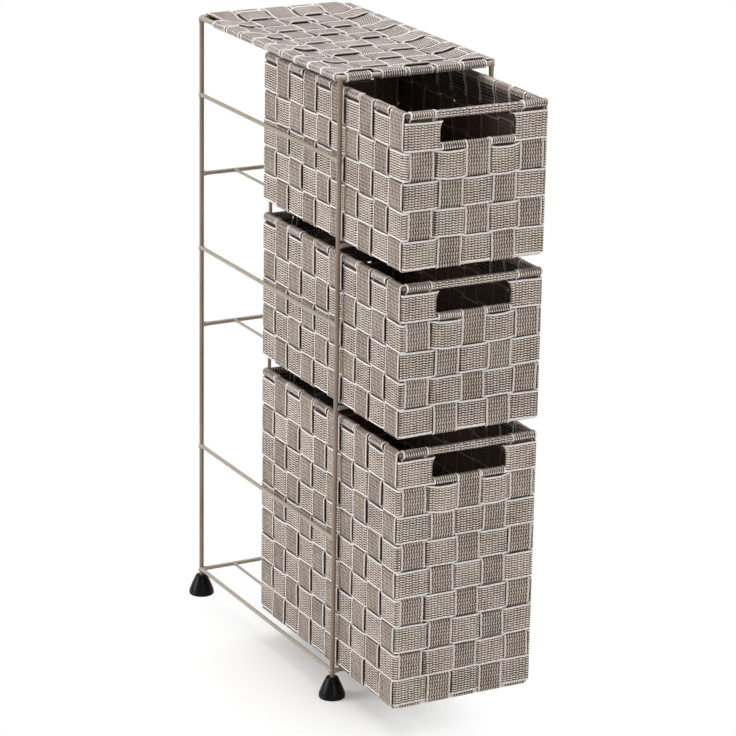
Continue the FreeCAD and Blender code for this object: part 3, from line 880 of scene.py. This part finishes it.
# Drawer uprights, rim and lip: tapes that rise from under the floor, through the hoops, over the rim wire.
# Where the top hoop lies outside, the fold shows as a short roll above it, made here as a piece of its own.
# Above the slot the rim wire is wrapped lengthwise; below the slot the columns fold over the lip.
UPRIGHT_WIDTH = 0.0266
UPRIGHT_PITCH = 0.0028
UPRIGHT_DEPTH = 0.0011
SLOT_COLUMNS = (1, 2, 3)
FLOOR_TAIL = 0.022
FLOOR_RISE = 0.00185
BASE_GAP = 0.0015
BASE_STEP = 0.0026
BASE_LIFT = 0.0009
ON_WALL = 0.02
FOLD_START = 0.02
FOLD_DROP = 0.0075
FOLD_STEP = 0.0045
ROLL_STEP = FOLD_STEP * 0.6
RIM_RISE = 0.0017
RIM_DEPTH = 0.0047
RIM_LIFT = 0.0007
RIM_RADIUS = 0.0016
RIM_BACK_DROP = 0.010
TAIL_DEPTH = 0.0026
TAIL_START = 0.018
TAIL_END = 0.028
ROLL_WIDTH = 0.0278
ROLL_START = 0.016
ROLL_EDGE = 0.0074
LIP_ROLL_START = 0.012
LIP_ROLL_EDGE = 0.0064
ROLL_UNDER = 0.0006
ROLL_PROUD = 0.0004
ROLL_SHIFT = {0: 0.0010, 1: 0.0025, 3: -0.0028, 4: 0.0026}
INNER_PAINTED_SHADE = 0.6
INNER_DEPTH = 0.002
INNER_DROPS = (0.004, 0.03)
BAR_HALF = 0.0478
BAR_THICK = 0.0031
BAR_TALL = 0.0038
BAR_SHIFT = 0.0026
BAR_BACK = 0.0023
BAR_DROP = 0.0045
BAR_STEPS = 41
BAR_SIDES = 32
BAR_SEAM = 0.9
BAR_ROUNDNESS = 0.6
BAR_SWELL = 0.04
BAR_SWELL_LENGTH = 0.011
BAR_MAP_START = 0.5

# Painted shade: the uprights' tape is darker than the hoops' same webbing, standing in for the shade on its
# upright ribs.
UPRIGHT_TAPE = webbing("webbing_upright", UPRIGHT_WIDTH, paint(74, 60, 50), paint(210, 196, 183),
                       0.0022, paint(246, 239, 233), UPRIGHT_PITCH, UPRIGHT_DEPTH)
ROLL_TAPE = webbing("webbing_roll", ROLL_WIDTH, paint(52, 41, 35), paint(228, 214, 202),
                    0.0022, paint(254, 250, 246))


def over_rim(top, start):
    """Corners of the fold over a wire: up the wall to the top, back over the wire and down inside."""
    return [start, (0, top - RIM_RISE), (-RIM_DEPTH, top - RIM_RISE), (-RIM_DEPTH, top - RIM_BACK_DROP),
            (-TAIL_DEPTH, top - TAIL_START), (-TAIL_DEPTH, top - TAIL_END)]


def upright(floor, rim, heights, column, slotted):
    """Flat path and lift of one upright, and of the roll over its wire where the hoop below is outside."""
    top_row = 1 if slotted else 0
    top = rim - SLOT_DROP if slotted else rim
    rolled = (column + top_row) % 2 == 0
    leg = [(-FLOOR_TAIL, floor + FLOOR_RISE), (0, floor + FLOOR_RISE)]
    if rolled:
        path = rounded_path([*leg, (0, top - FOLD_DROP)], RIM_RADIUS)
    else:
        path = rounded_path([*leg, *over_rim(top, (0, top - FOLD_START))], RIM_RADIUS)
    along = lengths(path)
    wall = int(np.argmin(np.abs(path[:, 1] - (floor + ON_WALL)) + np.abs(path[:, 0])))
    from_floor = along[wall] - path[wall, 1]
    row = np.arange(len(heights) - 1, top_row - 1, -1)
    levels = WEAVE_LIFT * np.where((column + row) % 2, 1, -1)
    base_middle = heights[-1] - HOOP_WIDTH / 2 - BASE_GAP
    middles = from_floor + np.array([base_middle, *halfway(heights[row]), top - FOLD_DROP])
    crossing = np.full(len(middles), CROSSING_LENGTH)
    crossing[[0, -1]] = BASE_STEP, FOLD_STEP
    early = np.full(len(middles), EARLY_DIVE)
    early[[0, -1]] = 0
    last_level = levels[-1] if rolled else RIM_LIFT
    lift = lifts(along, middles, np.array([BASE_LIFT, *levels, last_level]), crossing, early)
    if not rolled:
        return (path, lift), None
    start, edge = (LIP_ROLL_START, LIP_ROLL_EDGE) if slotted else (ROLL_START, ROLL_EDGE)
    roll = rounded_path(over_rim(top, (0, top - start)), RIM_RADIUS)
    along = lengths(roll)
    roll_levels = np.array([-WEAVE_LIFT - ROLL_UNDER, RIM_LIFT + ROLL_PROUD])
    roll_lift = lifts(along, [along[0] + (top - edge) - roll[0, 1]], roll_levels, ROLL_STEP, 0)
    return (path, lift), (roll, roll_lift)


def inner(path):
    """How much darker a tape is at each point of its path: its leg inside the drawer is in the shade."""
    drop = path[:, 1].max() - path[:, 1]
    # Painted shade on the leg inside the drawer.
    return INNER_PAINTED_SHADE * ((path[:, 0] < -INNER_DEPTH) & (drop > INNER_DROPS[0]) & (drop < INNER_DROPS[1]))


def wrapped_bar(middle):
    """Tape wrapped lengthwise round a wire: a rounded box section carried along x, a little uneven.

    The section is the cosine and the sine of a turn, each to the power BAR_ROUNDNESS."""
    turn = np.linspace(0, 2 * np.pi, BAR_SIDES, endpoint=False) + BAR_SEAM
    thick = BAR_THICK * np.sign(np.cos(turn)) * np.abs(np.cos(turn)) ** BAR_ROUNDNESS
    tall = BAR_TALL * np.sign(np.sin(turn)) * np.abs(np.sin(turn)) ** BAR_ROUNDNESS
    x = np.linspace(-BAR_HALF, BAR_HALF, BAR_STEPS)[:, None]
    swell = 1 + BAR_SWELL * np.sin(x / BAR_SWELL_LENGTH + 1)
    verts = np.stack(np.broadcast_arrays(x, -thick * swell, tall * swell), 2) + middle
    step = np.hypot(np.diff(thick, append=thick[0]), np.diff(tall, append=tall[0]))
    round_about = np.concatenate([[0], np.cumsum(step)[:-1]])
    across = np.minimum(round_about, step.sum() - round_about)
    tape_map = np.stack(np.broadcast_arrays(x + BAR_MAP_START, across), 2)
    last = (BAR_STEPS - 1) * BAR_SIDES
    faces = grid_faces(BAR_STEPS, BAR_SIDES).tolist()
    faces += [list(range(BAR_SIDES)), list(range(last, last + BAR_SIDES))[::-1]]
    unmarked = np.zeros(BAR_STEPS * BAR_SIDES)
    return verts.reshape(-1, 3), faces, tape_map.reshape(-1, 2), unmarked, unmarked


for drawer in ROW_COUNTS:
    middle, half_x, half_y, floor, rim = drawer_frame(drawer)
    places = crossings(half_x, half_y)
    heights = row_heights(drawer, rim)
    column, rolls, lips = 0, [], []
    for wall, outward in OUTWARD.items():
        tapes = []
        for _ in range(COLUMN_COUNT[wall]):
            slotted = column in SLOT_COLUMNS
            whole, roll = upright(floor, rim, heights, column, slotted)
            origin = middle + places[column]
            tapes.append(tape(*whole, UPRIGHT_WIDTH, origin, outward, UP, painted_shade=inner(whole[0])))
            if roll:
                origin = origin + np.array([ROLL_SHIFT.get(column, 0), 0, 0])
                made = tape(*roll, ROLL_WIDTH, origin, outward, UP, painted_shade=inner(roll[0]))
                (lips if slotted else rolls).append(made)
            column += 1
        straps = f"{drawer}_{wall}_straps"
        tape_object(f"{drawer}_{wall}_uprights", tapes, UPRIGHT_TAPE, straps, drawer + "_drawer")
    rolls.append(wrapped_bar(middle + np.array([BAR_SHIFT, -half_y + BAR_BACK, rim - BAR_DROP])))
    tape_object(drawer + "_rim", rolls, ROLL_TAPE, drawer + "_rim_band", drawer + "_drawer")
    tape_object(drawer + "_lip", lips, ROLL_TAPE, drawer + "_handle_lip", drawer + "_drawer")


# Drawer floors: five tapes from front to back woven through ten across, laid on the tails of the uprights.
# The same webbing as the top, at even steps; the tapes are cut just short of the walls.
FLOOR_TAPE_WIDTH = 0.026
FLOOR_HEIGHT = 0.0034
FLOOR_GAP = 0.004

for drawer in ROW_COUNTS:
    middle, half_x, half_y, floor, rim = drawer_frame(drawer)
    columns = {wall: evenly(COLUMN_COUNT[wall], COLUMN_PITCH[wall] * (COLUMN_COUNT[wall] - 1))
               for wall in ("front", "right")}
    tapes = []
    for wall, other, half, first, odd in (("front", "right", half_y, (0, 1, 0), 1),
                                          ("right", "front", half_x, (1, 0, 0), -1)):
        ends = [(-half + FLOOR_GAP, FLOOR_HEIGHT), (half - FLOOR_GAP, FLOOR_HEIGHT)]
        path = rounded_path(ends, CORNER_RADIUS)
        middles = half - FLOOR_GAP + halfway(columns[other])
        sideways = np.array([1.0, 1.0, 0]) - first
        for i, place in enumerate(columns[wall]):
            highs = np.where((i + np.arange(len(columns[other]))) % 2, odd, -odd)
            lift = lifts(lengths(path), middles, WEAVE_LIFT * highs, early=0)
            origin = middle + UP * floor + sideways * place
            tapes.append(tape(path, lift, FLOOR_TAPE_WIDTH, origin, first, UP))
    tape_object(drawer + "_floor", tapes, CROSS_TAPE, drawer + "_floor_straps", drawer + "_drawer")


# Studio: white floor and backdrop, and the photo's camera, fitted to the rods and the weave.
# Three soft lights: a broad one overhead, one from the left and behind, and a weaker one in front.
# The floor shows most of its shadow under the tower and none of it further out.
FLOOR_SIZE = 12.0
FLOOR_WHITE = (0.95, 0.95, 0.95, 1.0)
SHADOW_MIDDLE = (-0.08, -0.05, 0.0)
SHADOW_NEAR = 0.03
SHADOW_FAR = 0.15
SHADOW_SHARE = 0.78
WORLD_LIGHT = 0.4
CAMERA_PLACE = Vector((-1.44817, -2.76735, 1.29547))
CAMERA_YAW = math.radians(-28.2)
CAMERA_PITCH = math.radians(-17.785)
CAMERA_ROLL = math.radians(0.987)
LENS_MM = 154.43
SENSOR_MM = 36.0


def studio_floor():
    """White floor that turns into plain light, for the camera only, away from the tower."""
    material, shader, place = new_material("studio_floor", Roughness=0.9, Specular_IOR_Level=0.0)
    shader.inputs["Base Color"].default_value = FLOOR_WHITE
    camera_ray = place.node("ShaderNodeLightPath", {}, {})
    narrowed = place.node("ShaderNodeVectorMath", {"operation": "MULTIPLY"}, {0: place, 1: (1.0, 0.5, 0.0)})
    away = place.node("ShaderNodeVectorMath", {"operation": "DISTANCE"}, {0: narrowed, 1: SHADOW_MIDDLE}, 1)
    light = camera_ray * (1 - SHADOW_SHARE + SHADOW_SHARE * away.ramp(SHADOW_NEAR, SHADOW_FAR))
    white = place.node("ShaderNodeEmission", {}, {})
    plain = Shade(place.tree, shader.outputs[0])
    mixed = place.node("ShaderNodeMixShader", {}, {0: light, 1: plain, 2: white})
    place.tree.links.new(mixed.socket, place.tree.nodes["Material Output"].inputs["Surface"])
    return material


floor_corners = np.array([[-1, -1, 0], [1, -1, 0], [1, 1, 0], [-1, 1, 0]]) * FLOOR_SIZE / 2
floor = mesh_object("studio_floor", floor_corners.tolist(), [[0, 1, 2, 3]], studio_floor())

world = bpy.data.worlds.new("studio")
bpy.context.scene.world = world
world.use_nodes = True
backdrop = world.node_tree.nodes["Background"]
backdrop.inputs["Color"].default_value = (1, 1, 1, 1)
light_path = world.node_tree.nodes.new("ShaderNodeLightPath")
seen = Shade(world.node_tree, light_path.outputs["Is Camera Ray"])
strength = seen * (1 - WORLD_LIGHT) + WORLD_LIGHT
world.node_tree.links.new(strength.socket, backdrop.inputs["Strength"])


def soft_box(name, place, target, size, watts):
    """Square area light aimed at a point."""
    lamp = bpy.data.lights.new(name, "AREA")
    lamp.shape = "SQUARE"
    lamp.size = size
    lamp.energy = watts
    holder = bpy.data.objects.new(name, lamp)
    holder.location = place
    holder.rotation_euler = (Vector(target) - Vector(place)).to_track_quat("-Z", "Y").to_euler()
    bpy.context.scene.collection.objects.link(holder)


soft_box("overhead_light", place=(0.3, 0.3, 2.9), target=(0, -0.1, 0.3), size=2.4, watts=64)
soft_box("left_light", place=(-3.0, 0.9, 1.4), target=(0, -0.1, 0.35), size=1.8, watts=70.5)
soft_box("fill_light", place=(0.4, -3.3, 1.3), target=(0, -0.1, 0.35), size=2.0, watts=34)

camera = bpy.data.cameras.new("camera")
camera.lens = LENS_MM
camera.sensor_width = SENSOR_MM
camera.sensor_fit = "HORIZONTAL"
camera.clip_end = 50
camera_object = bpy.data.objects.new("camera", camera)
bpy.context.scene.collection.objects.link(camera_object)
level = Vector((math.cos(CAMERA_YAW), math.sin(CAMERA_YAW), 0))
level_ahead = Vector((-math.sin(CAMERA_YAW), math.cos(CAMERA_YAW), 0))
forward = math.cos(CAMERA_PITCH) * level_ahead + math.sin(CAMERA_PITCH) * Vector((0, 0, 1))
above = level.cross(forward)
right = math.cos(CAMERA_ROLL) * level + math.sin(CAMERA_ROLL) * above
up = math.cos(CAMERA_ROLL) * above - math.sin(CAMERA_ROLL) * level
turned_so = Matrix((right, up, -forward)).transposed().to_4x4()
camera_object.matrix_world = Matrix.Translation(CAMERA_PLACE) @ turned_so
bpy.context.scene.camera = camera_object
bpy.context.scene.view_settings.view_transform = "Standard"
